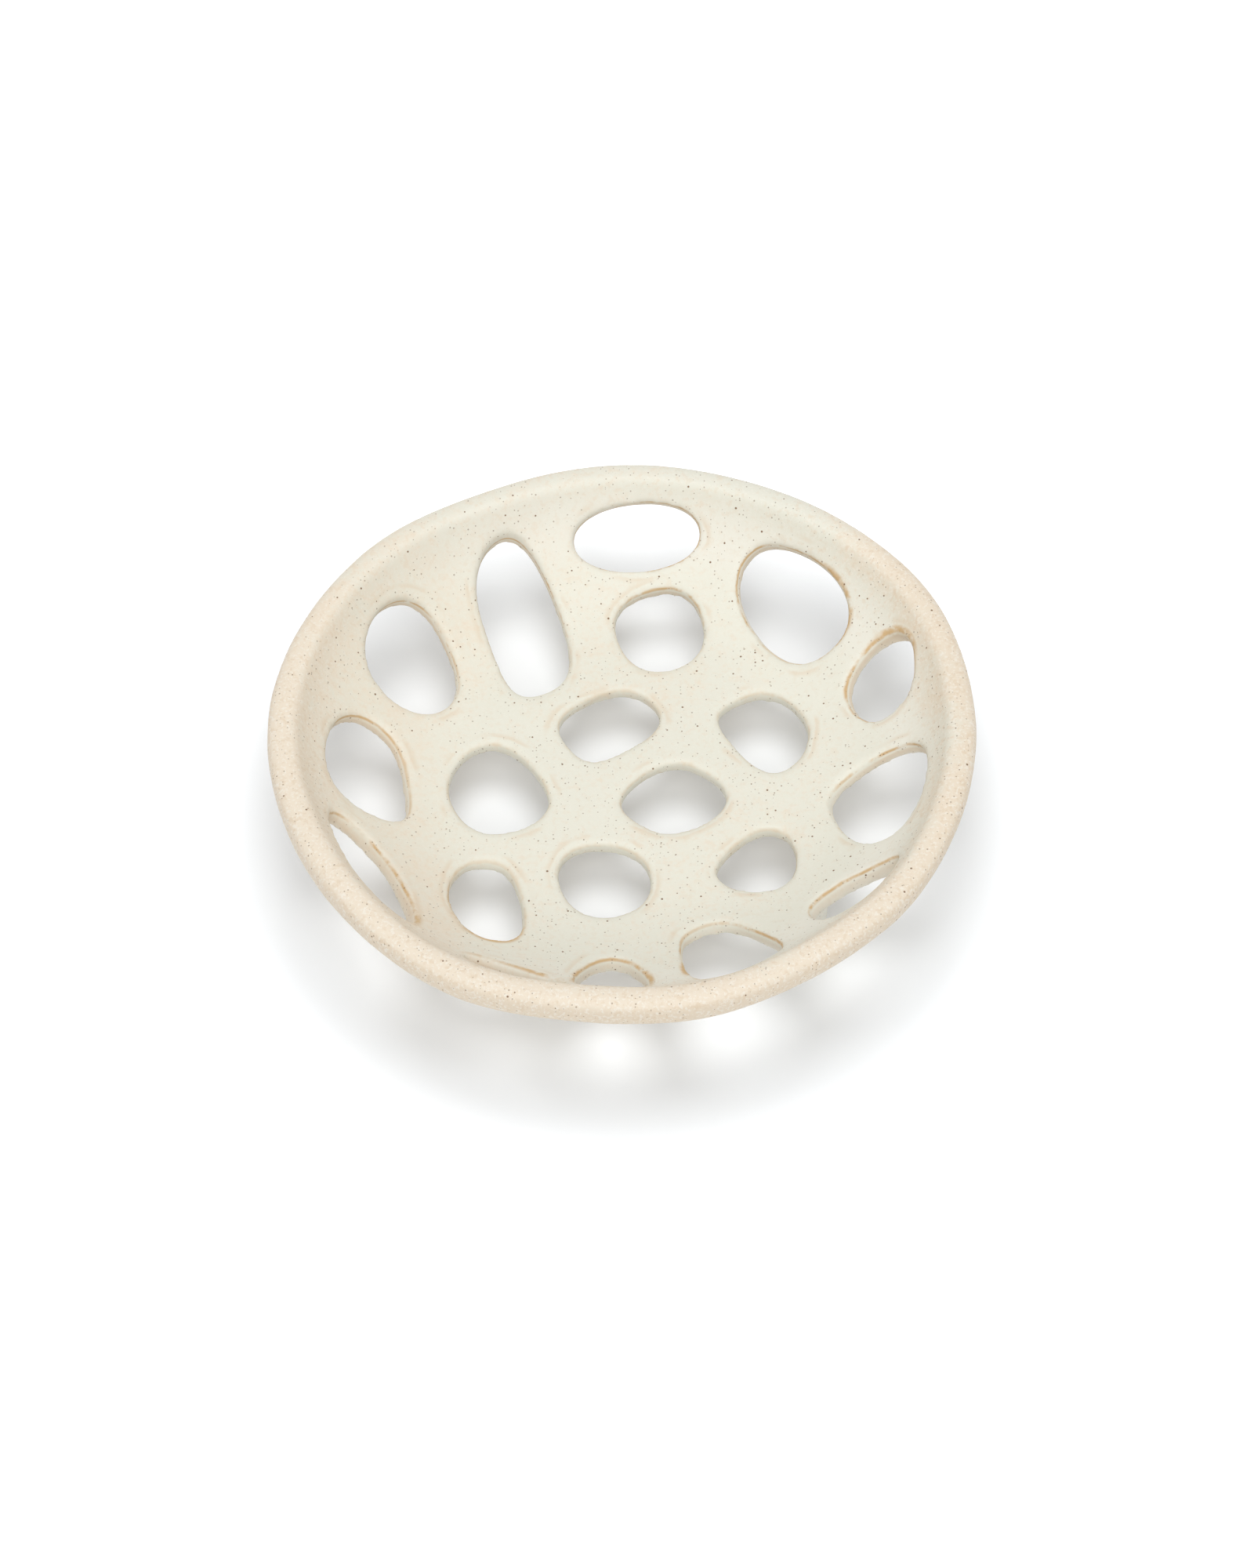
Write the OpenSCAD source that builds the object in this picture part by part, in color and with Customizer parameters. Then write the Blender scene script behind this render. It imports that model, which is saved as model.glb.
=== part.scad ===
// Pierced stoneware bowl on three small feet.
// Millimetres. The bowl's axis is Z, the table is z = 0, and the viewer stands at -Y.

/* [Bowl] */
// Width over the rim
rim_d = 250; // [230:1:290]
// Height from the table to the top of the rim
total_h = 56; // [48:1:70]
// Thickness of the floor
floor_t = 5.5; // [4.5:0.5:8]
// Level width of the wall at the middle of the rim
wall_w = 11; // [9:0.5:11.5]
// Radius of the flat middle of the floor
floor_r = 58; // [50:1:66]
// Height of the underside of the floor over the table
floor_gap = 18; // [12:0.5:24]

/* [Rim] */
// Thickness of the rolled rim
rim_t = 12.5; // [12:0.5:15]

/* [Holes] */
// Amount added to the length and width of every hole
hole_trim = 0; // [-5:0.5:1]

/* [Feet] */
// Width of a foot near the table
foot_base_d = 14; // [11:0.5:15]
// Width of a foot where it meets the bowl
foot_top_d = 15.5; // [15:0.5:17]
// Slant at the bottom edge of a foot
foot_edge = 1.5; // [0.5:0.5:2.5]

/* [Hidden] */
$fn = 128;

// Directions are counted from +X. Lengths and distances in these three lists
// are for a bowl 250 wide, and grow with the rim.
layout = rim_d / 250;

// Holes in the wall: direction, distance in from the rim's middle line, length, width and turn.
// The turn is counted from the line along the rim.
wall_holes = [
  [87, 18, 47, 25, -7],
  [49, 23.5, 50, 36, 25],
  [19, 20, 34, 26, 38],
  [-12, 25.5, 42, 39, -15],
  [-39, 17, 36, 19, 18],
  [-68, 26, 40, 33, 58],
  [-92, 20, 23, 18, 90],
  [-110, 12.5, 36, 10, 7],
  [-148, 17, 51, 20, 6],
  [-177, 27.5, 45, 31, -9],
  [149, 28.5, 45, 34, -50],
  [118, 41, 64, 29, -82]
];

// Holes in the floor: direction, distance from the axis, length, width and turn
floor_holes = [
  [78, 67.5, 35, 32, 70],
  [20, 56, 36, 28, -8],
  [-40, 64, 30, 25, 3],
  [-97, 48, 32, 31, 63],
  [-128, 75.5, 40, 26, 33],
  [-171, 44.5, 40, 35, 6],
  [101, 23.5, 36, 27, -24],
  [-32, 22, 34, 32, 85]
];

// Feet: direction and distance from the axis, each under solid clay between the holes
feet = [
  [99, 82],
  [206, 82],
  [318, 86]
];

// Middle line of the rolled rim
rim_r = (rim_d - rim_t) / 2;
rim_z = total_h - rim_t / 2;

// Inside face: an arc that leaves the floor level and ends in the rim
in_w = rim_r - wall_w / 2 - floor_r;
in_h = rim_z - floor_gap - floor_t;
in_r = (in_w * in_w + in_h * in_h) / (2 * in_h);
in_z = floor_gap + floor_t + in_r;

// Underside: a wider arc, so the wall thickens towards the rim
out_w = rim_r + wall_w / 2 - floor_r;
out_h = rim_z - floor_gap;
out_r = (out_w * out_w + out_h * out_h) / (2 * out_h);
out_z = floor_gap + out_r;

// Slope and height of the inside face at a distance from the axis
function slope_at(r) = r > floor_r ? asin((r - floor_r) / in_r) : 0;
function inside_z(r) = in_z - in_r * cos(slope_at(r));

// Height of the underside at a distance from the axis beyond the flat floor
function under_z(r) = out_z - out_r * cos(asin((r - floor_r) / out_r));

// Length that only has to be large enough
cutter_h = 2 * total_h;

// Round section of the rim
module rim_section() {
  translate([rim_r, rim_z])
    circle(d = rim_t);
}

// Section of everything above the underside, up to the middle of the rim
module filled_section() {
  translate([0, floor_gap])
    square([floor_r, out_h]);
  intersection() {
    translate([floor_r, out_z])
      circle(r = out_r);
    translate([floor_r, floor_gap])
      square([out_w, out_h]);
  }
}

// Section of floor and wall, hollowed at the top to seat the rim
module wall_section() {
  difference() {
    filled_section();
    translate([0, floor_gap + floor_t])
      square([floor_r, out_h]);
    translate([floor_r, in_z])
      circle(r = in_r);
    rim_section();
  }
}

// One oval hole, cut square to the wall at a distance from the axis
module hole(direction, distance, length, width, turn) {
  rotate([0, 0, direction])
    translate([distance, 0, inside_z(distance)])
      rotate([0, -slope_at(distance), 0])
        rotate([0, 0, 90 - turn])
          linear_extrude(height = cutter_h, center = true)
            scale([layout * length + hole_trim, layout * width + hole_trim])
              circle(d = 1);
}

module bowl_wall() {
  color([0.86, 0.84, 0.74])
    difference() {
      rotate_extrude()
        wall_section();
      for (h = wall_holes)
        hole(h[0], rim_r - layout * h[1], h[2], h[3], h[4]);
      for (h = floor_holes)
        hole(h[0], layout * h[1], h[2], h[3], h[4]);
    }
}

module rim_coil() {
  color([0.88, 0.78, 0.64])
    rotate_extrude()
      rim_section();
}

// A tapered peg that ends on the underside of the bowl
module foot(place) {
  distance = layout * place[1];
  foot_h = under_z(distance);
  peg_h = foot_h + wall_w;
  peg_top_d = foot_base_d + (foot_top_d - foot_base_d) * (peg_h - foot_edge) / (foot_h - foot_edge);
  color([0.80, 0.74, 0.62])
    difference() {
      rotate([0, 0, place[0]])
        translate([distance, 0, 0])
          rotate_extrude()
            polygon([
              [0, 0],
              [foot_base_d / 2 - foot_edge, 0],
              [foot_base_d / 2, foot_edge],
              [peg_top_d / 2, peg_h],
              [0, peg_h]
            ]);
      rotate_extrude()
        filled_section();
    }
}

module foot_back() {
  foot(feet[0]);
}

module foot_left() {
  foot(feet[1]);
}

module foot_right() {
  foot(feet[2]);
}

bowl_wall();
rim_coil();
foot_back();
foot_left();
foot_right();
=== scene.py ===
import math

import bpy
from bpy.props import FloatProperty, FloatVectorProperty, IntProperty, PointerProperty
from mathutils import Matrix, Vector
from mathutils.kdtree import KDTree


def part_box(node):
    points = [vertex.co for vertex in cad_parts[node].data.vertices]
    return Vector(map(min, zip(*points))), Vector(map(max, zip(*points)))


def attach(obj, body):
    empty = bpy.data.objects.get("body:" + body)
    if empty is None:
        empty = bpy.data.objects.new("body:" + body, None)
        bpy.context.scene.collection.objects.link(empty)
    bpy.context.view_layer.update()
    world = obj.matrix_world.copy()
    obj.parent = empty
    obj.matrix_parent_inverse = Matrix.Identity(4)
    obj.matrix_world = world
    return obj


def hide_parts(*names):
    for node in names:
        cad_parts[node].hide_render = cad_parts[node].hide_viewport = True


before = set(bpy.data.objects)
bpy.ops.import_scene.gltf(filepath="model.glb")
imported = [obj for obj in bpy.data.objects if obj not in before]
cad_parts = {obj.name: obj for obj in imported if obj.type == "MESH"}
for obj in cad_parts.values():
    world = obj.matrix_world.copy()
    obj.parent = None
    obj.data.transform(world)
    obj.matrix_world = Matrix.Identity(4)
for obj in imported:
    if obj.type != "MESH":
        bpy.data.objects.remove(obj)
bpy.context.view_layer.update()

bl_info = {
    "name": "Pierced Stoneware Bowl",
    "version": (1, 0, 0),
    "blender": (4, 5, 0),
    "location": "View3D > Sidebar > Bowl",
    "description": "Models and glazes a hand-cut stoneware bowl over its measured frame",
    "category": "Object",
}

MM = 0.001

# How far the lip lies under the frame's top, where its faces leave the arcs, and how square it is pressed.
LIP_DROP = 0.4 * MM
INSIDE_END = 100 * MM
UNDERSIDE_END = 112 * MM
LIP_PRESS = 0.62

# How far along the rim a push is felt, and the length of the slow waves in the clay.
PUSH_REACH = 60 * MM
WAVE_LENGTH = 45 * MM

# Half the length of the tool that cuts a hole.
CUTTER_REACH = 20 * MM

RIM_LOW, RIM_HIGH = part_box("rim_coil")
WALL_LOW, WALL_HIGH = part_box("bowl_wall")
FEET = ("foot_back", "foot_left", "foot_right")

# One row for each hole, close to the frame's: direction in degrees from +X, distance from the axis, length,
# width and turn from the line along the rim, in mm. Then how the cut departs from an oval: for each end
# its shift to one side and its bluntness, the fullness of the flanks, and where each flank is widest.
OVAL = 0.55
HOLES = (
    (87, 100.75, 47, 25, -7, dict(end_b=(0, 0.6), flank=0.6)),
    (49, 95.25, 50, 36, 25, dict(end_a=(0.1, 0.5), end_b=(0.1, 0.65), bulge=(0.1, -0.2))),
    (19.5, 99, 34, 27, 37, dict(end_a=(-0.2, 0.55), end_b=(0, 0.4), bulge=(-0.1, 0))),
    (-12, 93.25, 42, 39, -15, dict(end_a=(-0.3, 0.65), end_b=(0, 0.7), flank=0.3, bulge=(0.25, 0.3))),
    (-38.5, 102.2, 36, 21.3, 18, dict(end_a=(-0.2, 0.35), end_b=(0.1, 0.8), flank=0.45, bulge=(-0.2, 0))),
    (-68.3, 93.5, 39, 35, 58, dict(end_a=(0.2, 0.6), end_b=(0.2, 0.3), flank=0.5, bulge=(-0.3, 0.25))),
    (-92, 97, 26.5, 24, 90, dict(end_a=(0, 0.8), bulge=(0.35, 0.35))),
    (-110, 105.75, 36, 10.5, 3, dict()),
    (-146.8, 102.5, 56.5, 21.5, 6, dict(end_a=(0, 0.4), end_b=(-0.2, 0.5))),
    (-177, 91.25, 45, 31, -9, dict(end_a=(0.5, 0.55), bulge=(-0.1, 0.1))),
    (149, 90.25, 45, 34, -50, dict(end_a=(0.15, 0.5), end_b=(0.15, 0.65), flank=0.5, bulge=(0.2, 0))),
    (118, 77.75, 64, 28.5, -82, dict(end_a=(-0.35, 0.8), end_b=(0.2, 0.4), flank=0.75, bulge=(0, -0.1))),
    (78, 67.5, 35, 32, 70, dict(end_a=(-0.15, 0.6), end_b=(0.1, 0.6), flank=0.6, bulge=(0.2, 0))),
    (20, 56, 36, 28, -8, dict(end_a=(-0.1, 0.55), end_b=(0.3, 0.6), flank=0.6, bulge=(0.4, 0))),
    (-40, 64, 30, 25, 3, dict(end_a=(0.3, 0.55), end_b=(0.4, 0.55), flank=0.5, bulge=(0, -0.1))),
    (-97, 48, 32, 31, 63, dict(end_a=(0, 0.6), end_b=(-0.2, 0.55), flank=0.6)),
    (-128, 75.5, 39, 25.2, 33, dict(end_a=(0, 0.7), end_b=(0.1, 0.5), bulge=(-0.3, 0))),
    (-171, 44.5, 40, 35, 6, dict(end_a=(-0.1, 0.5), end_b=(-0.1, 0.5), flank=0.45, bulge=(0.3, 0))),
    (101, 23.5, 36, 27, -24, dict(end_a=(0.1, 0.6), end_b=(0.1, 0.65), flank=0.8, bulge=(0.1, 0.15))),
    (-32, 22, 34, 32, 85, dict(end_a=(0.3, 0.55), end_b=(-0.35, 0.55), flank=0.5, bulge=(-0.1, 0))),
)

# Where the rim was pushed by hand: direction in degrees from +X, how far out and how far up in mm.
RIM_PUSHES = (
    (30, 1.3, 0),
    (62, -0.6, 0),
    (112, -2.4, 0),
    (205, -1.2, 0),
    (245, 1.6, -1.3),
    (285, 1.6, -1.8),
    (320, 1.2, -1.2),
)


class BowlSettings(bpy.types.PropertyGroup):
    """Sizes of the clay body"""

    floor_radius: FloatProperty(
        name="Floor radius", description="Radius of the flat middle of the floor",
        default=58 * MM, unit="LENGTH")
    floor_thickness: FloatProperty(
        name="Floor thickness", description="Thickness of the floor",
        default=5.5 * MM, unit="LENGTH")
    wall_width: FloatProperty(
        name="Wall width", description="Level width of the wall at the middle of the rim",
        default=11 * MM, unit="LENGTH")
    lip_thickness: FloatProperty(
        name="Lip thickness", description="Thickness of the rolled lip",
        default=11.2 * MM, unit="LENGTH")
    rim_ease: FloatProperty(
        name="Rim ease", description="How far the rim stays inside the frame to leave room for its waves",
        default=0.9 * MM, unit="LENGTH")
    oval: FloatProperty(
        name="Oval", description="How much the rim is pulled out along one diagonal and in along the other",
        default=0.009)
    grain: FloatProperty(
        name="Mesh grain", description="Edge length of the clay's mesh",
        default=1.15 * MM, unit="LENGTH")
    sponging: IntProperty(
        name="Sponging", description="How often the cut edges are smoothed",
        default=14)
    swell: FloatProperty(
        name="Swell", description="Height of the slow waves left by hand building",
        default=1.0 * MM, unit="LENGTH")


class FootSettings(bpy.types.PropertyGroup):
    """Shape of the three feet"""

    flare: FloatProperty(
        name="Flare", description="How much wider a foot is at its top",
        default=1.0 * MM, unit="LENGTH")
    edge: FloatProperty(
        name="Edge", description="Radius of the wiped bottom edge",
        default=2.0 * MM, unit="LENGTH")


class GlazeSettings(bpy.types.PropertyGroup):
    """Colours of the glaze"""

    pale: FloatVectorProperty(
        name="Pale glaze", description="Glaze where it lies thick, inside the bowl",
        default=(0.715, 0.702, 0.608), size=3, subtype="COLOR")
    warm: FloatVectorProperty(
        name="Warm glaze", description="Glaze where it is thin, on the rim and outside",
        default=(0.745, 0.655, 0.53), size=3, subtype="COLOR")
    milk: FloatVectorProperty(
        name="Milky grains", description="White grains in the thin glaze of the lip",
        default=(0.81, 0.775, 0.70), size=3, subtype="COLOR")
    bare: FloatVectorProperty(
        name="Bare edge", description="Beige clay that shows through on the cut faces and carving marks",
        default=(0.65, 0.52, 0.37), size=3, subtype="COLOR")
    broken: FloatVectorProperty(
        name="Broken edge", description="Bare brown clay where the glaze breaks over an edge",
        default=(0.58, 0.40, 0.21), size=3, subtype="COLOR")
    speck: FloatVectorProperty(
        name="Specks", description="Iron specks that burn through the glaze",
        default=(0.19, 0.105, 0.05), size=3, subtype="COLOR")
    rust: FloatVectorProperty(
        name="Rust spots", description="The few larger iron spots",
        default=(0.30, 0.13, 0.06), size=3, subtype="COLOR")


def only(obj):
    """Makes one object the selected and active one."""
    bpy.ops.object.select_all(action="DESELECT")
    obj.select_set(True)
    bpy.context.view_layer.objects.active = obj


def apply_modifier(obj, name, kind, **settings):
    """Adds a modifier, sets it and applies it."""
    only(obj)
    modifier = obj.modifiers.new(name, kind)
    for key, value in settings.items():
        setattr(modifier, key, value)
    bpy.ops.object.modifier_apply(modifier=modifier.name)


class Profile:
    """The bowl's section, from the frame's boxes and the settings, in metres."""

    def __init__(self, bowl):
        self.rim_half = bowl.lip_thickness / 2
        self.rim_r = RIM_HIGH.x - self.rim_half
        self.rim_z = RIM_HIGH.z - self.rim_half - LIP_DROP
        self.floor_r = bowl.floor_radius
        self.under = WALL_LOW.z
        self.floor_z = self.under + bowl.floor_thickness
        coil = (RIM_HIGH.z - RIM_LOW.z) / 2
        coil_r = RIM_HIGH.x - coil
        coil_z = RIM_HIGH.z - coil
        self.inner = self.arc(coil_r - bowl.wall_width / 2, coil_z - self.floor_z)
        self.outer = self.arc(coil_r + bowl.wall_width / 2, coil_z - self.under)
        self.upper = self.rise_to_lip()

    def arc(self, end_r, high):
        """Radius of an arc that leaves the floor level and ends at the height of the rim's middle."""
        wide = end_r - self.floor_r
        return (wide * wide + high * high) / (2 * high)

    def slope(self, r):
        return math.asin(max(0.0, r - self.floor_r) / self.inner)

    def inside(self, r):
        run = max(0.0, r - self.floor_r)
        return self.floor_z + self.inner - math.sqrt(self.inner ** 2 - run * run)

    def underside(self, r):
        run = max(0.0, r - self.floor_r)
        return self.under + self.outer - math.sqrt(self.outer ** 2 - run * run)

    def face(self, height, end_r):
        """Points along one face, from near the axis to a distance from it."""
        middle = [(r * MM, height(r * MM)) for r in (2, 20, 40)]
        steps = round((end_r - self.floor_r) / (3 * MM))
        run = [self.floor_r + (end_r - self.floor_r) * i / steps for i in range(steps + 1)]
        return middle + [(r, height(r)) for r in run]

    def roll(self, degrees):
        """A point on the lip, a circle pressed a little square."""
        across, up = math.cos(math.radians(degrees)), math.sin(math.radians(degrees))
        press = [math.copysign(abs(v) ** LIP_PRESS, v) * self.rim_half for v in (across, up)]
        return self.rim_r + press[0], self.rim_z + press[1]

    def blend(self, start, start_slope, end, end_slope, steps=8):
        """A smooth curve between two points with given slopes."""
        reach = 0.36 * math.dist(start, end)
        a = (start[0] + reach * math.cos(start_slope), start[1] + reach * math.sin(start_slope))
        b = (end[0] - reach * math.cos(end_slope), end[1] - reach * math.sin(end_slope))
        points = []
        for i in range(1, steps):
            t = i / steps
            shares = ((1 - t) ** 3, 3 * (1 - t) ** 2 * t, 3 * (1 - t) * t * t, t ** 3)
            points.append(tuple(
                sum(share * point[k] for share, point in zip(shares, (start, a, b, end)))
                for k in (0, 1)))
        return points

    def rise_to_lip(self):
        """Points of the inside face from the end of its arc to the top of the lip."""
        start = (INSIDE_END, self.inside(INSIDE_END))
        lip = [self.roll(a) for a in range(150, 84, -13)]
        return [start] + self.blend(start, self.slope(INSIDE_END), lip[0], math.radians(60), 6) + lip

    def surface(self, r):
        """Height of the inside face, which leaves the arc near the lip."""
        if r <= INSIDE_END:
            return self.inside(r)
        for (r0, z0), (r1, z1) in zip(self.upper, self.upper[1:]):
            if r <= r1:
                return z0 + (z1 - z0) * (r - r0) / (r1 - r0)
        return self.upper[-1][1]

    def depth(self, point):
        """How deep a point lies under the inside face, square to it."""
        r = math.hypot(point.x, point.y)
        return (self.surface(r) - point.z) * math.cos(self.slope(r))

    def outline(self):
        """The whole section: inside face, lip, underside."""
        inside = self.face(self.inside, INSIDE_END)
        under = self.face(self.underside, UNDERSIDE_END)
        lip = [self.roll(a) for a in range(72, -46, -13)]
        fall = self.blend(lip[-1], math.radians(225), under[-1], math.radians(220), 4)
        return inside + self.upper[1:] + lip + fall + under[::-1]


def turned_shell(bowl, profile):
    """Draws the section ring by ring from the middle of the floor over the rim and back underneath."""
    points = profile.outline()
    bpy.ops.object.select_all(action="DESELECT")
    bpy.ops.mesh.primitive_circle_add(
        vertices=180, radius=points[0][0], fill_type="NGON", location=(0, 0, points[0][1]))
    shell = bpy.context.object
    shell.name = "pierced_bowl"
    bpy.ops.object.transform_apply(location=True, rotation=False, scale=False)
    bpy.ops.object.mode_set(mode="EDIT")
    bpy.ops.mesh.select_all(action="SELECT")
    bpy.ops.mesh.delete(type="ONLY_FACE")
    bpy.ops.mesh.select_all(action="SELECT")
    for (r0, z0), (r1, z1) in zip(points, points[1:]):
        bpy.ops.mesh.extrude_edges_move(TRANSFORM_OT_translate={"value": (0, 0, z1 - z0)})
        bpy.ops.transform.resize(value=(r1 / r0, r1 / r0, 1), center_override=(0, 0, 0))
    bpy.ops.mesh.edge_face_add()
    bpy.ops.mesh.select_all(action="DESELECT")
    bpy.ops.mesh.select_non_manifold()
    bpy.ops.mesh.edge_face_add()
    bpy.ops.mesh.select_all(action="SELECT")
    bpy.ops.mesh.normals_make_consistent(inside=False)
    ease = 1 - bowl.rim_ease / RIM_HIGH.x
    bpy.ops.transform.resize(
        value=(ease * (1 + bowl.oval), ease * (1 - bowl.oval), 1), center_override=(0, 0, 0))
    bpy.ops.transform.rotate(value=math.radians(-45), orient_axis="Z", center_override=(0, 0, 0))
    bpy.ops.mesh.select_all(action="DESELECT")
    bpy.ops.object.mode_set(mode="OBJECT")
    return shell


def push_rim(shell, profile, pushes):
    """Pushes the rim in or out by hand here and there, and takes the wall along softly."""
    only(shell)
    for direction, out, up in pushes:
        way = Vector((math.cos(math.radians(direction)), math.sin(math.radians(direction)), 0))
        spot = way * profile.rim_r + Vector((0, 0, RIM_HIGH.z))
        nearest = min(shell.data.vertices, key=lambda v: (v.co - spot).length)
        for v in shell.data.vertices:
            v.select = v == nearest
        bpy.ops.object.mode_set(mode="EDIT")
        bpy.ops.transform.translate(
            value=(way * out + Vector((0, 0, up))) * MM, use_proportional_edit=True,
            proportional_edit_falloff="SMOOTH", proportional_size=PUSH_REACH)
        bpy.ops.object.mode_set(mode="OBJECT")


def mark_cuts(piece, profile, edges):
    """Stores how far each point lies from the nearest cut edge, and how deep under the inside face."""
    tree = KDTree(len(edges))
    for i, point in enumerate(edges):
        tree.insert(point, i)
    tree.balance()
    points = [v.co for v in piece.data.vertices]
    marks = {
        "cut_rim": [tree.find(p)[2] for p in points],
        "cut_depth": [profile.depth(p) for p in points],
    }
    for name, values in marks.items():
        mark = piece.data.attributes.new(name, "FLOAT", "POINT")
        mark.data.foreach_set("value", values)


def hole_frame(profile, direction, distance, turn):
    """Place of a hole: middle on the inside face, length along X, width along Y, wall normal along Z."""
    r = distance * MM
    spot = Matrix.Rotation(math.radians(direction), 4, "Z") @ Matrix.Translation((r, 0, profile.inside(r)))
    tilt = Matrix.Rotation(-profile.slope(r), 4, "Y")
    return spot @ tilt @ Matrix.Rotation(math.radians(90 - turn), 4, "Z")


def hole_cutter(place, length, width, shape):
    """A prism with the hand-cut outline of one hole, and that outline's points at the hole's middle."""
    half_l, half_w = length * MM / 2, width * MM / 2
    shift_a, blunt_a = shape.get("end_a", (0.0, OVAL))
    shift_b, blunt_b = shape.get("end_b", (0.0, OVAL))
    flank = shape.get("flank", OVAL)
    over, under = shape.get("bulge", (0.0, 0.0))
    corners = (
        (half_l, shift_a * half_w, 0, blunt_a * half_w),
        (over * half_l, half_w, -flank * half_l, 0),
        (-half_l, shift_b * half_w, 0, -blunt_b * half_w),
        (under * half_l, -half_w, flank * half_l, 0),
    )
    bpy.ops.object.select_all(action="DESELECT")
    bpy.ops.curve.primitive_bezier_circle_add(radius=1)
    curve = bpy.context.object
    curve.data.dimensions = "2D"
    curve.data.resolution_u = 24
    for point, (x, y, dx, dy) in zip(curve.data.splines[0].bezier_points, corners):
        point.handle_left_type = point.handle_right_type = "FREE"
        point.co = (x, y, 0)
        point.handle_right = (x + dx, y + dy, 0)
        point.handle_left = (x - dx, y - dy, 0)
    curve.data.fill_mode = "BOTH"
    curve.data.extrude = CUTTER_REACH
    bpy.ops.object.convert(target="MESH")
    cutter = bpy.context.object
    bpy.ops.object.mode_set(mode="EDIT")
    bpy.ops.mesh.select_all(action="SELECT")
    bpy.ops.mesh.remove_doubles(threshold=0.00002)
    bpy.ops.mesh.normals_make_consistent(inside=False)
    bpy.ops.object.mode_set(mode="OBJECT")
    edge = [place @ Vector((v.co.x, v.co.y, 0)) for v in cutter.data.vertices if v.co.z > 0]
    cutter.matrix_world = place
    bpy.ops.object.transform_apply(location=True, rotation=True, scale=True)
    return cutter, edge


def onto_inside(profile, place, point):
    """Moves a point of a hole's outline along the cut onto the inside face."""
    along = place.to_3x3() @ Vector((0, 0, 1))
    for _ in range(6):
        r = math.hypot(point.x, point.y)
        point = point + along * (profile.surface(r) - point.z) * along.z
    return point


class Value:
    """A shader socket that works in Python sums. Any other node comes from its add method."""

    def __init__(self, tree, socket=None):
        self.tree = tree
        self.socket = socket

    def add(self, kind, settings=None, inputs=None, output=0):
        """Adds one node, sets it, then fills or links its sockets. Returns one of its outputs."""
        node = self.tree.nodes.new("ShaderNode" + kind)
        for key, value in (settings or {}).items():
            setattr(node, key, value)
        for key, value in (inputs or {}).items():
            socket = node.inputs[key]
            if isinstance(value, Value):
                self.tree.links.new(value.socket, socket)
            elif hasattr(value, "__len__"):
                size = len(socket.default_value)
                socket.default_value = (tuple(value) + (1.0,))[:size]
            else:
                socket.default_value = value
        return Value(self.tree, node.outputs[output]) if node.outputs else None

    def other(self, output):
        """Another output of the same node."""
        return Value(self.tree, self.socket.node.outputs[output])

    def sum(self, operation, first, second):
        return self.add("Math", dict(operation=operation), {0: first, 1: second})

    def __add__(self, other):
        return self.sum("ADD", self, other)

    def __radd__(self, other):
        return self.sum("ADD", other, self)

    def __sub__(self, other):
        return self.sum("SUBTRACT", self, other)

    def __rsub__(self, other):
        return self.sum("SUBTRACT", other, self)

    def __mul__(self, other):
        return self.sum("MULTIPLY", self, other)

    def __rmul__(self, other):
        return self.sum("MULTIPLY", other, self)

    def step(self, low, high):
        """0 below low, 1 above high, smooth between."""
        return self.add("MapRange", dict(interpolation_type="SMOOTHSTEP"),
                        {"Value": self, "From Min": low, "From Max": high})

    def band(self, low, rise, fall, high):
        """1 between rise and fall, 0 outside low and high."""
        return self.step(low, rise) * (1.0 - self.step(fall, high))

    def mix(self, first, second):
        """Mixes two colours, with this value as the share of the second."""
        return self.add("Mix", dict(data_type="RGBA"), {0: self, 6: first, 7: second}, output=2)

    def noise(self, scale, detail, roughness=0.6):
        """A cloud pattern at this place."""
        return self.add("TexNoise", None, {
            "Vector": self, "Scale": scale, "Detail": detail, "Roughness": roughness})

    def specks(self, size, low, high, seed):
        """Round specks in random cells at this place: 1 inside a speck, 0 outside."""
        moved = self.add("VectorMath", dict(operation="ADD"), {0: self, 1: (seed, seed * 2.0, -seed)})
        cell = self.add("TexVoronoi", None, {"Vector": moved, "Scale": 1 / size})
        chance = self.add("SeparateColor", None, {0: cell.other("Color")})
        reach = self.add("MapRange", None,
                         {"Value": chance, "From Min": low, "From Max": 1.0, "To Min": 0.0, "To Max": high})
        return (reach - cell).step(0.0, high * 0.3)


def empty_tree(owner):
    """Clears a material's or world's nodes and returns a start for new ones."""
    owner.use_nodes = True
    owner.node_tree.nodes.clear()
    return Value(owner.node_tree)


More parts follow.
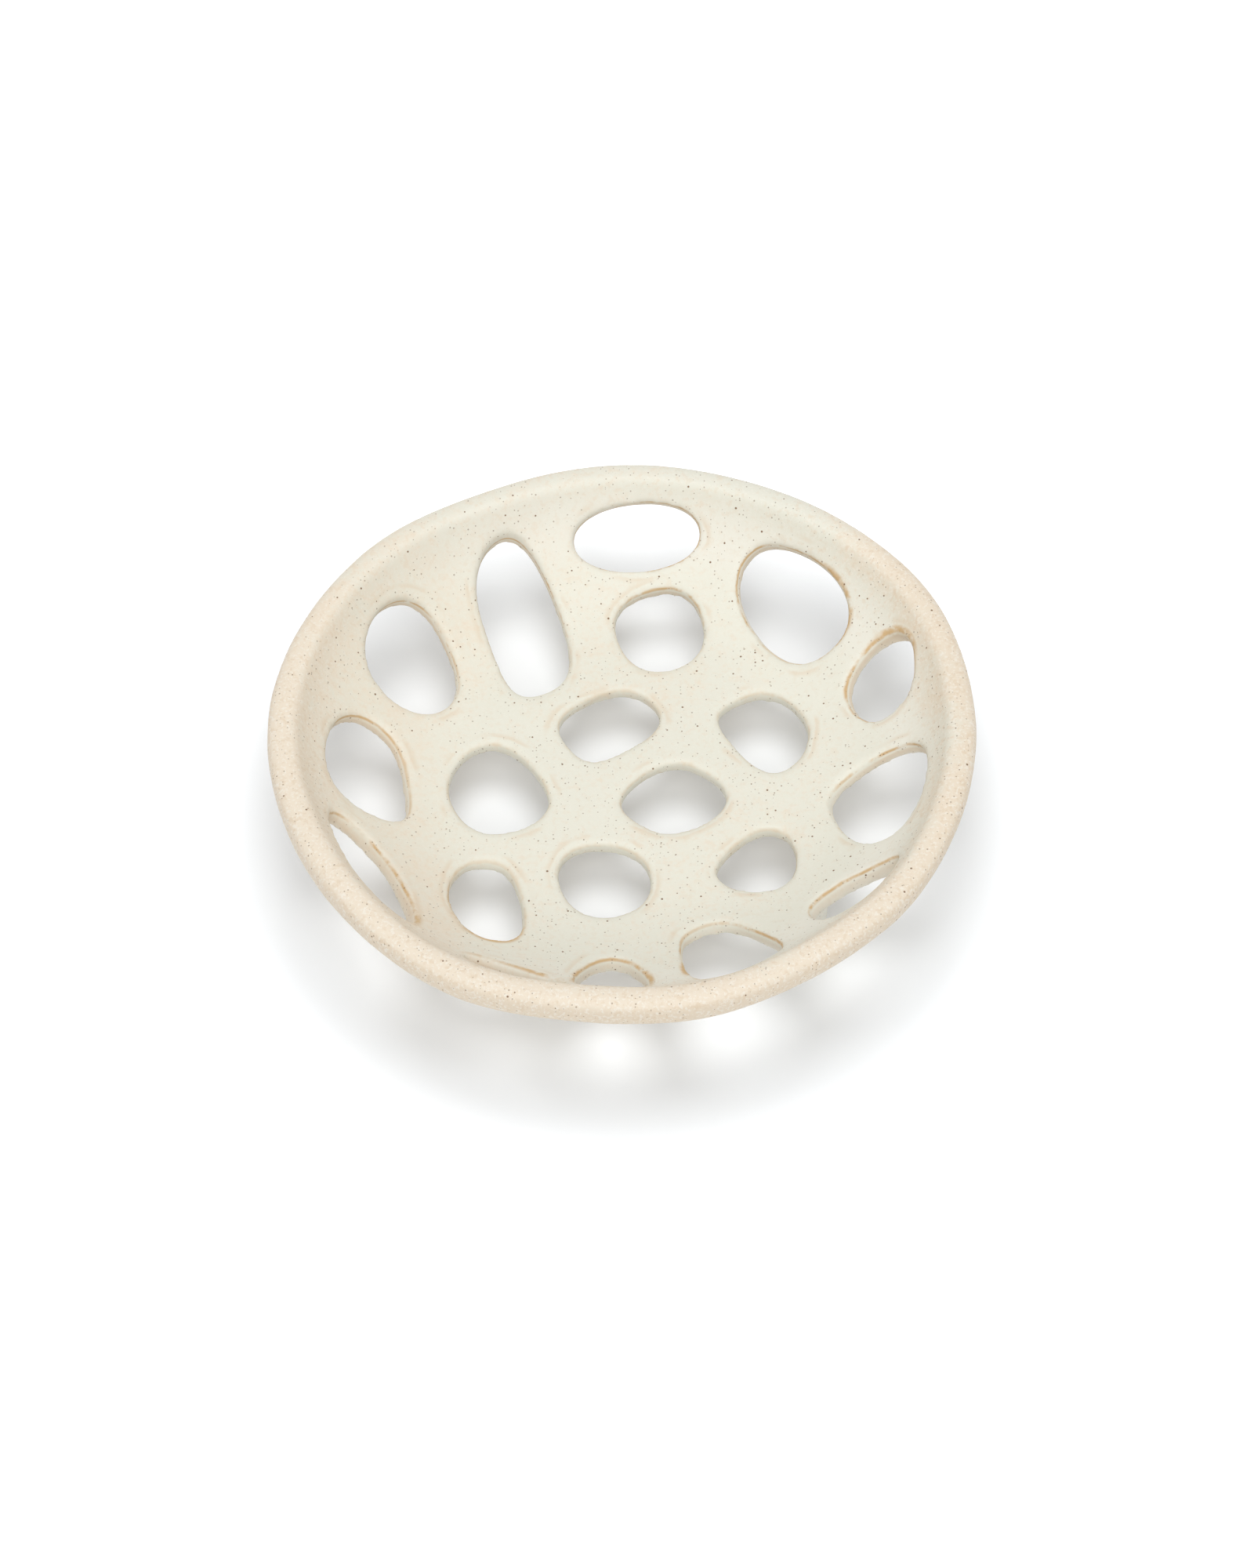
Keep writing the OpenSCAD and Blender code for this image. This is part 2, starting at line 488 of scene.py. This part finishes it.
def glaze_material(glaze):
    """Satin speckled glaze, pale and thick inside, warm and thin on the rim and over the cut edges."""
    material = bpy.data.materials.new("speckled_glaze")
    tree = empty_tree(material)
    place = tree.add("TexCoord", output=3)
    x = tree.add("SeparateXYZ", None, {0: place})
    y = x.other(1)
    radius = tree.add("Math", dict(operation="SQRT"), {0: x * x + y * y})
    normal_z = tree.add("SeparateXYZ", None, {0: tree.add("NewGeometry", output=1)}, output=2)

    # Patterns from broad clouds to single grains.
    cloud = place.noise(22.0, 3.0)
    fine = place.noise(130.0, 4.0, 0.7)
    grain = place.noise(480.0, 2.0)
    grit = place.noise(900.0, 2.0)

    # Distance to the nearest cut edge and depth under the inside face, in metres.
    rim = tree.add("Attribute", dict(attribute_name="cut_rim"), output=2)
    depth = tree.add("Attribute", dict(attribute_name="cut_depth"), output=2)
    cut = 1.0 - rim.step(0.0035, 0.0075)
    wall = radius.step(0.068, 0.088)

    # The glaze is thin on the near part of the lip, on the left wall and underneath, and thick elsewhere.
    under = 1.0 - normal_z.step(-0.35, 0.25)
    near = 1.0 - (y - x * 0.25).step(0.04, 0.11) * 0.8
    lip = (radius + cloud * 0.016).step(0.106, 0.130) * near
    mottle = (cloud - 0.5) * 1.0 + (fine - 0.5) * 1.1 + (grain - 0.5) * 0.8
    left = radius.step(0.05, 0.085) * (1.0 - lip) * (0.0 - x).step(0.0, 0.08)
    left = left * (1.0 - y.step(0.05, 0.10) * 0.6)
    right = wall * (1.0 - lip) * x.step(0.0, 0.09)
    thin = (lip + left * 0.3 - right * 0.5 + under * 0.8 * (1.0 - cut) + mottle + 0.14).step(0.0, 1.1)
    body = thin.mix(glaze.pale, glaze.warm)
    # Painted light: a milky band high on the wall under the lip brightens the upper wall, which the lamps
    # leave too dim.
    high = radius.band(0.088, 0.102, 0.107, 0.116) * (1.0 - lip) * (1.0 - left)
    body = (high * 0.4).mix(body, glaze.milk)

    # Clay and milky grains show through on the lip. Its outward-turned side gets beige clay, partly thin
    # glaze and partly painted shade that darkens the side turned away from the light.
    # Painted shade: the lip's steeper outer faces are darkened with the beige clay colour.
    outside = (1.0 - normal_z.step(0.05, 0.85)) * 0.40
    body = (lip * (outside + x.step(0.08, 0.12) * 0.2) + left * 0.14).mix(body, glaze.bare)
    ridge = normal_z.band(0.30, 0.50, 0.62, 0.82) * radius.step(0.117, 0.120) * near
    body = (ridge * cloud.step(0.35, 0.60) * 0.30).mix(body, glaze.bare)
    body = (grain.step(0.50, 0.68) * (0.14 + lip * 0.36)).mix(body, glaze.bare)
    body = (grit.step(0.50, 0.66) * (0.14 + lip * 0.40)).mix(body, glaze.milk)

    # Brown lines along the cut edges, beige cut faces.
    crest = depth.band(0.0002, 0.0008, 0.0010, 0.0018) * (1.0 - rim.step(0.0018, 0.0032))
    face = depth.step(0.0014, 0.0030) * cut
    broken = place.noise(75.0, 4.0, 0.7).step(0.37, 0.57)
    body = (face * (0.08 + wall * (0.28 + y.step(-0.05, 0.02) * 0.3))).mix(body, glaze.bare)
    body = (crest * broken * (0.3 + wall * 0.7)).mix(body, glaze.broken)

    # Faint marks left by the knife around the holes.
    wander = rim + (cloud - 0.5) * 0.009
    ring = wander.band(0.0026, 0.0036, 0.0036, 0.0058)
    patch = place.noise(48.0, 1.0).step(0.50, 0.62)
    body = (ring * patch * (1.0 - under) * 0.42).mix(body, glaze.bare)

    # Iron specks, from dust to single rust spots.
    dust = place.specks(0.0013, 0.40, 0.30, 0.31)
    pepper = place.specks(0.0027, 0.50, 0.18, 2.30)
    dots = place.specks(0.0062, 0.50, 0.08, 1.70)
    spots = place.specks(0.0300, 0.86, 0.04, 4.10)
    body = (dust * 0.55).mix(body, glaze.speck)
    body = (pepper * 0.95).mix(body, glaze.speck)
    body = (dots * 0.95).mix(body, glaze.speck)
    body = (spots * 0.85).mix(body, glaze.rust)

    height = fine * 0.35 + grit * 0.3
    bump = tree.add("Bump", None, {"Strength": 0.12, "Distance": 0.0006, "Height": height})
    shader = tree.add("BsdfPrincipled", None, {
        "Base Color": body, "Roughness": 0.46 + fine * 0.16, "Normal": bump, "IOR": 1.45})
    tree.add("OutputMaterial", None, {"Surface": shader})
    return material


class BOWL_OT_clay(bpy.types.Operator):
    """Turn the shell, cut the holes, sponge the edges and glaze the bowl"""

    bl_idname = "bowl.clay"
    bl_label = "Pierced Bowl"

    def execute(self, context):
        bowl = context.scene.bowl
        profile = Profile(bowl)
        shell = turned_shell(bowl, profile)
        push_rim(shell, profile, RIM_PUSHES)
        edges = []
        for direction, distance, length, width, turn, shape in HOLES:
            place = hole_frame(profile, direction, distance, turn)
            cutter, edge = hole_cutter(place, length, width, shape)
            edges.extend(onto_inside(profile, place, point) for point in edge)
            apply_modifier(shell, "cut", "BOOLEAN", object=cutter, operation="DIFFERENCE", solver="EXACT")
            bpy.data.objects.remove(cutter)
        apply_modifier(shell, "clay", "REMESH", mode="VOXEL", voxel_size=bowl.grain, use_smooth_shade=True)
        apply_modifier(shell, "sponge", "SMOOTH", factor=0.5, iterations=bowl.sponging)
        waves = bpy.data.textures.new("hand_waves", "CLOUDS")
        waves.noise_scale = WAVE_LENGTH
        apply_modifier(shell, "waves", "DISPLACE", texture=waves, texture_coords="LOCAL",
                       strength=bowl.swell, mid_level=0.5)
        mark_cuts(shell, profile, edges)
        only(shell)
        bpy.ops.object.shade_smooth()
        if len(shell.data.polygons) < 1000:
            raise RuntimeError("the bowl's mesh is empty")
        shell.data.materials.clear()
        shell.data.materials.append(glaze_material(context.scene.glaze))
        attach(shell, "root")
        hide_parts("bowl_wall", "rim_coil")
        return {"FINISHED"}


def foot_peg(name, low, high, foot):
    """A stubby peg pressed on under the wall, wider at the top, its bottom edge wiped round."""
    middle = (low + high) / 2
    wide = (high.x - low.x) / 2
    base = wide - foot.flare
    edge = foot.edge
    wiped = [math.radians(degrees) for degrees in (0, 22, 45, 67, 90)]
    rings = [(base - edge * (1 - math.sin(a)), edge * (1 - math.cos(a))) for a in wiped]
    rings += [(base + foot.flare * t * t, edge + (high.z - edge) * t) for t in (0.25, 0.5, 0.75, 0.9, 1.0)]
    bpy.ops.object.select_all(action="DESELECT")
    bpy.ops.mesh.primitive_circle_add(
        vertices=64, radius=rings[0][0], fill_type="NGON", location=(middle.x, middle.y, 0))
    peg = bpy.context.object
    peg.name = name
    bpy.ops.object.transform_apply(location=True, rotation=False, scale=False)
    bpy.ops.object.mode_set(mode="EDIT")
    bpy.ops.mesh.select_all(action="SELECT")
    for (r0, z0), (r1, z1) in zip(rings, rings[1:]):
        bpy.ops.mesh.extrude_region_move(TRANSFORM_OT_translate={"value": (0, 0, z1 - z0)})
        bpy.ops.transform.resize(value=(r1 / r0, r1 / r0, 1), center_override=(middle.x, middle.y, 0))
    bpy.ops.mesh.select_all(action="SELECT")
    bpy.ops.mesh.normals_make_consistent(inside=False)
    bpy.ops.object.mode_set(mode="OBJECT")
    only(peg)
    bpy.ops.object.shade_smooth_by_angle(angle=math.radians(40))
    return peg


class BOWL_OT_feet(bpy.types.Operator):
    """Make the three feet and glaze them"""

    bl_idname = "bowl.feet"
    bl_label = "Feet"

    def execute(self, context):
        material = bpy.data.materials["speckled_glaze"]
        profile = Profile(context.scene.bowl)
        # A foot has no cut edge, so the only one it is marked with lies far off.
        no_edge = [Vector((0, 0, 1))]
        for node in FEET:
            low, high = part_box(node)
            peg = foot_peg(node.replace("foot", "peg"), low, high, context.scene.foot)
            peg.data.materials.append(material)
            mark_cuts(peg, profile, no_edge)
            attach(peg, "root")
            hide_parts(node)
        return {"FINISHED"}


class BOWL_OT_stage(bpy.types.Operator):
    """Set the white table, the two soft lights and the camera"""

    bl_idname = "bowl.stage"
    bl_label = "Table, Light and Camera"

    def execute(self, context):
        bpy.ops.object.select_all(action="DESELECT")
        bpy.ops.mesh.primitive_plane_add(size=8, location=(0, 0, 0))
        table = context.object
        table.name = "table"
        table.data.materials.append(self.table_material())
        self.light(context)
        self.camera(context)
        context.scene.view_settings.view_transform = "Standard"
        return {"FINISHED"}

    def seen(self, tree):
        """1 for rays that the camera sees, straight on, in gloss or through glass."""
        ray = tree.add("LightPath")
        return ray + ray.other("Is Glossy Ray") + ray.other("Is Transmission Ray")

    def table_material(self):
        """White paper that keeps the bowl's soft shadow and glows white for the camera farther off. The
        glow also paints light over the outer edge of that shadow and over the shadow that the front lamp
        throws behind the bowl.
        """
        material = bpy.data.materials.new("white_table")
        tree = empty_tree(material)
        paint = tree.add("BsdfDiffuse", None, {"Color": (0.94, 0.965, 0.988)})
        seen = self.seen(tree)
        place = tree.add("TexCoord", output=3)
        away = tree.add("VectorMath", dict(operation="LENGTH"), {0: place}, output=1)
        # Painted light on the table: glow that fades in from 13 cm out lightens the outer edge of the
        # bowl's shadow, and glow behind the bowl hides the front lamp's shadow there. Farther off, the glow
        # makes the backdrop evenly white.
        behind = tree.add("SeparateXYZ", None, {0: place}, output=1).step(0.10, 0.16)
        backdrop_and_painted_light = away.step(0.13, 0.18) * 0.3 + away.step(0.15, 0.6) * 0.8 + behind * 0.22
        white = (seen * backdrop_and_painted_light).mix((0, 0, 0), (1, 1, 1))
        glow = tree.add("Emission", None, {"Color": white, "Strength": 1.0})
        tree.add("OutputMaterial", None, {"Surface": tree.add("AddShader", None, {0: paint, 1: glow})})
        return material

    def softbox(self, name, place, aim, wide, energy):
        """A round soft light that faces a point."""
        bpy.ops.object.light_add(type="AREA", location=place)
        lamp = bpy.context.object
        lamp.name = name
        lamp.data.shape = "DISK"
        lamp.data.size = wide
        lamp.data.energy = energy
        lamp.rotation_euler = (Vector(place) - Vector(aim)).to_track_quat("Z", "Y").to_euler()

    def light(self, context):
        self.softbox("overhead", (0, 0.1, 1.2), (0, 0, 0), 0.8, 6.0)
        self.softbox("front", (0, -3.3, 3.15), (0, 0, 0.03), 4.2, 86.0)
        world = bpy.data.worlds.new("studio")
        context.scene.world = world
        tree = empty_tree(world)
        dim = tree.add("Background", None, {"Color": (1, 1, 1), "Strength": 0.51})
        white = tree.add("Background", None, {"Color": (1, 1, 1), "Strength": 1.0})
        sky = tree.add("MixShader", None, {0: self.seen(tree), 1: dim, 2: white})
        tree.add("OutputWorld", None, {"Surface": sky})

    def camera(self, context):
        """A camera at the photograph's viewing angle, its frame counted in pixels."""
        width, height = 1600.0, 2000.0
        centre_x, centre_y, focal = 793.5, 992.7, 4283.0
        sensor = 24
        distance = 1.2
        target = Vector((0, 0, 0.020))
        rise = math.radians(51.1)
        back = Vector((0, -math.cos(rise), math.sin(rise)))
        bpy.ops.object.camera_add(location=target + back * distance)
        camera = context.object
        camera.name = "photo_camera"
        camera.rotation_euler = back.to_track_quat("Z", "Y").to_euler()
        camera.data.sensor_fit = "VERTICAL"
        camera.data.sensor_height = sensor
        camera.data.lens = sensor * focal / height
        camera.data.shift_x = (width / 2 - centre_x) / height
        camera.data.shift_y = (centre_y - height / 2) / height
        context.scene.camera = camera


class BOWL_PT_panel(bpy.types.Panel):
    """The bowl's pieces and settings"""

    bl_label = "Pierced Bowl"
    bl_idname = "BOWL_PT_panel"
    bl_space_type = "VIEW_3D"
    bl_region_type = "UI"
    bl_category = "Bowl"

    def draw(self, context):
        for group in (context.scene.bowl, context.scene.foot, context.scene.glaze):
            for key in group.__annotations__:
                self.layout.prop(group, key)
        for operator in (BOWL_OT_clay, BOWL_OT_feet, BOWL_OT_stage):
            self.layout.operator(operator.bl_idname)


CLASSES = (BowlSettings, FootSettings, GlazeSettings,
           BOWL_OT_clay, BOWL_OT_feet, BOWL_OT_stage, BOWL_PT_panel)


def register():
    for cls in CLASSES:
        bpy.utils.register_class(cls)
    bpy.types.Scene.bowl = PointerProperty(type=BowlSettings)
    bpy.types.Scene.foot = PointerProperty(type=FootSettings)
    bpy.types.Scene.glaze = PointerProperty(type=GlazeSettings)


def unregister():
    del bpy.types.Scene.glaze
    del bpy.types.Scene.foot
    del bpy.types.Scene.bowl
    for cls in reversed(CLASSES):
        bpy.utils.unregister_class(cls)


def main():
    register()
    bpy.ops.bowl.clay()
    bpy.ops.bowl.feet()
    bpy.ops.bowl.stage()


if __name__ == "__main__":
    main()
